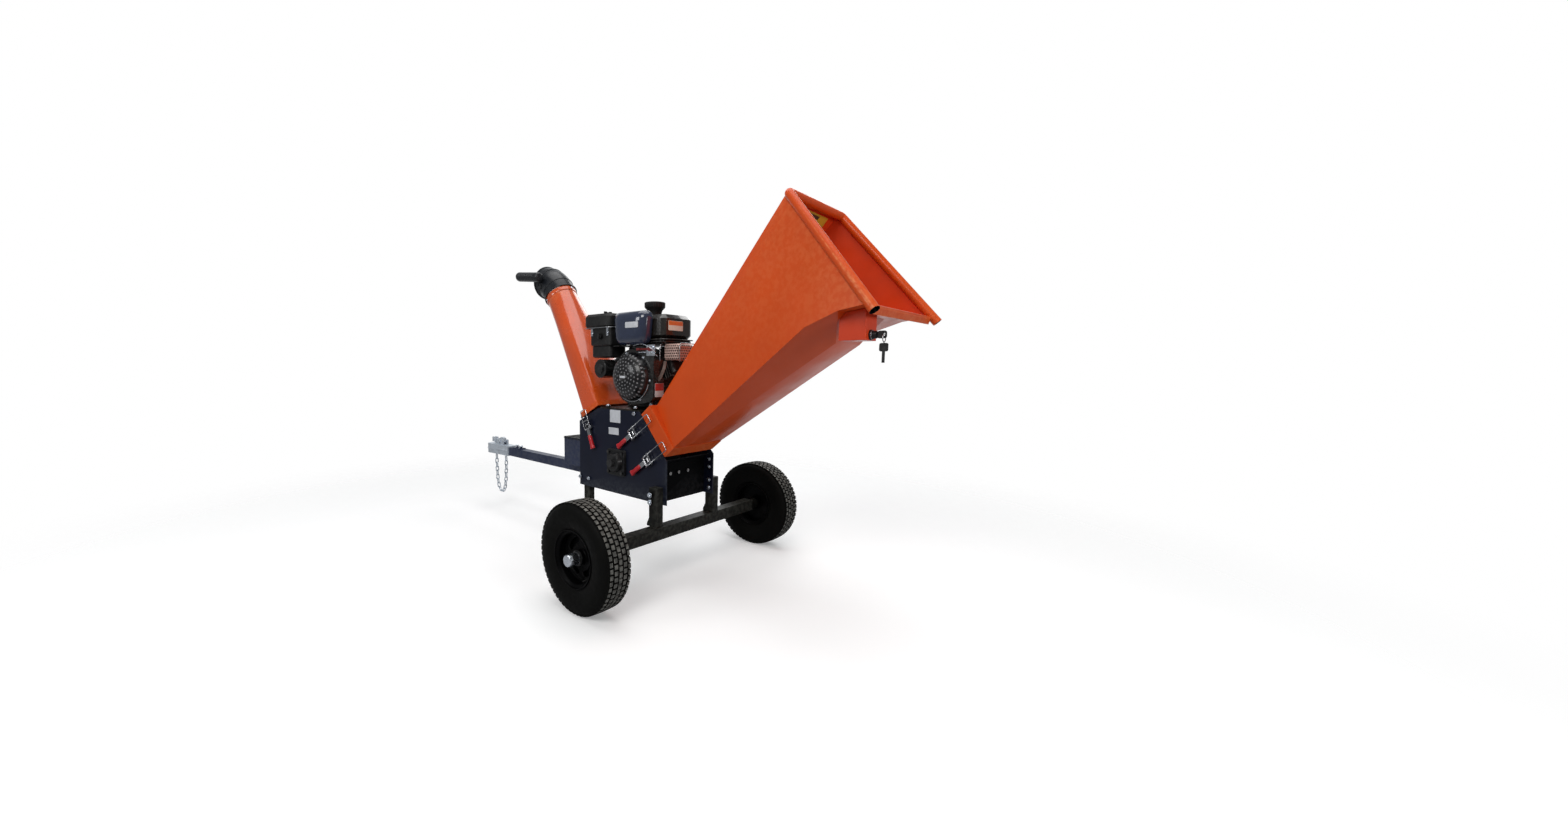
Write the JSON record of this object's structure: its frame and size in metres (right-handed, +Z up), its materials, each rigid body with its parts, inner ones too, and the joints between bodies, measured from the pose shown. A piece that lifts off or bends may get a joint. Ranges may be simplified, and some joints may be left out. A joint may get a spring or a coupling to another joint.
{
  "type": "wood chipper",
  "caption": "Towable petrol wood chipper: flared feed hopper, knife drum, belt drive, discharge chute with turning hood, axle with road wheels, tow bar with coupler",
  "frame": {"origin": "centre of the footprint at ground level", "axes": "+X runs from the tow coupler towards the hopper mouth, +Y from the latch and recoil-starter side to the belt side, +Z up"},
  "size_m": [2.6137, 1.2548, 1.4518],
  "materials": {
    "tyre": "black tyre rubber",
    "rim_paint": "satin black paint",
    "zinc": "bright zinc plating",
    "frame_paint": "satin blue-black powder coat",
    "leg_paint": "satin black powder coat",
    "orange_paint": "glossy orange powder coat",
    "cast": "black painted casting",
    "steel": "bare steel",
    "rubber": "black rubber",
    "engine_black": "gloss black enamel",
    "engine_alloy": "cast alloy, blackened",
    "black_plastic": "moulded black plastic",
    "gloss_plastic": "glossy blue-black plastic",
    "red_grip": "red grip"
  },
  "bodies": {
    "chassis": {"frame_plate_near": "frame_paint", "frame_plate_far": "frame_paint", "drum_casing": "leg_paint", "front_panel": "frame_paint", "engine_deck": "leg_paint", "axle_beam": "leg_paint", "leg_near": "leg_paint", "leg_far": "leg_paint", "support_leg": "leg_paint", "tow_bar": "frame_paint", "coupler_body": "zinc", "battery_box": "frame_paint", "battery_box_lid": "frame_paint", "bearing_near": "cast", "bearing_far": "cast", "hopper_hinge": "steel", "chute_hinge": "steel", "drive_belt": "rubber", "belt_guard": "leg_paint", "engine_block": "engine_alloy", "blower_housing": "engine_black", "recoil_starter": "engine_black", "top_cover": "gloss_plastic", "fuel_tank": "engine_black", "air_cleaner": "black_plastic", "starter_motor": "cast", "muffler": "steel", "muffler_guard": "steel"},
    "wheel_near": {"tyre_near": "tyre", "rim_near": "rim_paint", "hub_nut_near": "zinc"},
    "wheel_far": {"tyre_far": "tyre", "rim_far": "rim_paint", "hub_nut_far": "zinc"},
    "rotor": {"rotor_shaft": "steel", "rotor_drum": "cast", "knife_a": "steel", "knife_b": "steel", "rotor_pulley": "cast"},
    "crank": {"crank_pulley": "cast"},
    "hopper": {"hopper_shell": "orange_paint", "hopper_rim": "orange_paint", "key_box": "orange_paint", "key_switch": "black_plastic"},
    "ignition_key": {"ignition_key": "black_plastic"},
    "spare_key": {"spare_key": "black_plastic"},
    "chute": {"chute_shell": "orange_paint"},
    "hood": {"chute_hood": "black_plastic", "hood_grip": "black_plastic"},
    "coupler_latch": {"coupler_latch": "zinc"},
    "safety_chain": {"safety_chain": "zinc"},
    "throttle_lever": {"throttle_lever": "red_grip"},
    "recoil_handle": {"recoil_handle": "black_plastic"},
    "fuel_cap": {"fuel_cap": "black_plastic"},
    "hopper_latch_upper_lever": {"hopper_latch_upper_lever": "red_grip"},
    "hopper_latch_upper_bail": {"hopper_latch_upper_bail": "zinc"},
    "hopper_latch_lower_lever": {"hopper_latch_lower_lever": "red_grip"},
    "hopper_latch_lower_bail": {"hopper_latch_lower_bail": "zinc"},
    "chute_latch_lever": {"chute_latch_lever": "red_grip"},
    "chute_latch_bail": {"chute_latch_bail": "zinc"}
  },
  "joints": [
    {"name": "wheel_near_spin", "type": "hinge", "parent": "chassis", "child": "wheel_near", "pos_m": [0.39065, -0.551, 0.206], "axis": [0, 1, 0], "continuous": true},
    {"name": "wheel_far_spin", "type": "hinge", "parent": "chassis", "child": "wheel_far", "pos_m": [0.39065, 0.551, 0.206], "axis": [0, 1, 0], "continuous": true},
    {"name": "rotor_spin", "type": "hinge", "parent": "chassis", "child": "rotor", "pos_m": [0.12065, 0, 0.466], "axis": [0, 1, 0], "continuous": true},
    {"name": "crank_spin", "type": "hinge", "parent": "chassis", "child": "crank", "pos_m": [0.18565, 0, 0.846], "axis": [0, 1, 0], "continuous": true},
    {"name": "hopper_swing", "type": "hinge", "parent": "chassis", "child": "hopper", "pos_m": [0.34315, 0.166, 0.6066], "axis": [-0.6401, 0, 0.7683], "range_deg": [0, 90]},
    {"name": "ignition_turn", "type": "hinge", "parent": "hopper", "child": "ignition_key", "pos_m": [1.24365, -0.164, 0.986], "axis": [1, 0, 0], "range_deg": [0, 60]},
    {"name": "spare_key_swing", "type": "hinge", "parent": "ignition_key", "child": "spare_key", "pos_m": [1.28365, -0.164, 0.986], "axis": [0, 1, 0], "range_deg": [-25, 25]},
    {"name": "chute_swing", "type": "hinge", "parent": "chassis", "child": "chute", "pos_m": [-0.07735, 0.165, 0.68], "axis": [-0.8829, 0, -0.4695], "range_deg": [0, 90]},
    {"name": "hood_turn", "type": "hinge", "parent": "chute", "child": "hood", "pos_m": [-0.50952, 0, 1.26169], "axis": [-0.5964, 0, 0.8027], "continuous": true},
    {"name": "hopper_latch_upper_open", "type": "hinge", "parent": "chassis", "child": "hopper_latch_upper_lever", "pos_m": [0.23622, -0.166, 0.60792], "axis": [-0.5878, 0, 0.809], "range_deg": [0, 110]},
    {"name": "hopper_latch_upper_hook", "type": "hinge", "parent": "hopper_latch_upper_lever", "child": "hopper_latch_upper_bail", "pos_m": [0.22004, -0.166, 0.59617], "axis": [-0.5878, 0, 0.809], "range_deg": [-110, 0]},
    {"name": "hopper_latch_lower_open", "type": "hinge", "parent": "chassis", "child": "hopper_latch_lower_lever", "pos_m": [0.32622, -0.166, 0.50192], "axis": [-0.5878, 0, 0.809], "range_deg": [0, 110]},
    {"name": "hopper_latch_lower_hook", "type": "hinge", "parent": "hopper_latch_lower_lever", "child": "hopper_latch_lower_bail", "pos_m": [0.31004, -0.166, 0.49017], "axis": [-0.5878, 0, 0.809], "range_deg": [-110, 0]},
    {"name": "chute_latch_open", "type": "hinge", "parent": "chassis", "child": "chute_latch_lever", "pos_m": [-0.08011, -0.166, 0.61977], "axis": [-0.9272, 0, -0.3746], "range_deg": [0, 110]},
    {"name": "chute_latch_hook", "type": "hinge", "parent": "chute_latch_lever", "child": "chute_latch_bail", "pos_m": [-0.07262, -0.166, 0.60122], "axis": [-0.9272, 0, -0.3746], "range_deg": [-110, 0]},
    {"name": "coupler_release", "type": "hinge", "parent": "chassis", "child": "coupler_latch", "pos_m": [-1.15435, 0, 0.412], "axis": [0, 1, 0], "range_deg": [0, 55]},
    {"name": "chain_swing", "type": "hinge", "parent": "chassis", "child": "safety_chain", "pos_m": [-1.18935, 0, 0.321], "axis": [1, 0, 0], "range_deg": [-30, 30]},
    {"name": "throttle_move", "type": "hinge", "parent": "chassis", "child": "throttle_lever", "pos_m": [0.29465, -0.128, 0.964], "axis": [0, 1, 0], "range_deg": [0, 8]},
    {"name": "recoil_pull", "type": "slide", "parent": "chassis", "child": "recoil_handle", "axis": [0, -1, 0], "range_m": [0, 0.15], "stiffness_N_per_m": 60},
    {"name": "fuel_cap_turn", "type": "hinge", "parent": "chassis", "child": "fuel_cap", "pos_m": [0.21865, -0.02, 1.14], "axis": [0, 0, 1], "range_deg": [0, 90]}
  ],
  "couplings": [
    {"joint": "crank_spin", "follows": "rotor_spin", "ratio": 1.7273},
    {"joint": "hopper_latch_upper_hook", "follows": "hopper_latch_upper_open", "ratio": -1},
    {"joint": "hopper_latch_lower_hook", "follows": "hopper_latch_lower_open", "ratio": -1},
    {"joint": "chute_latch_hook", "follows": "chute_latch_open", "ratio": -1}
  ]
}
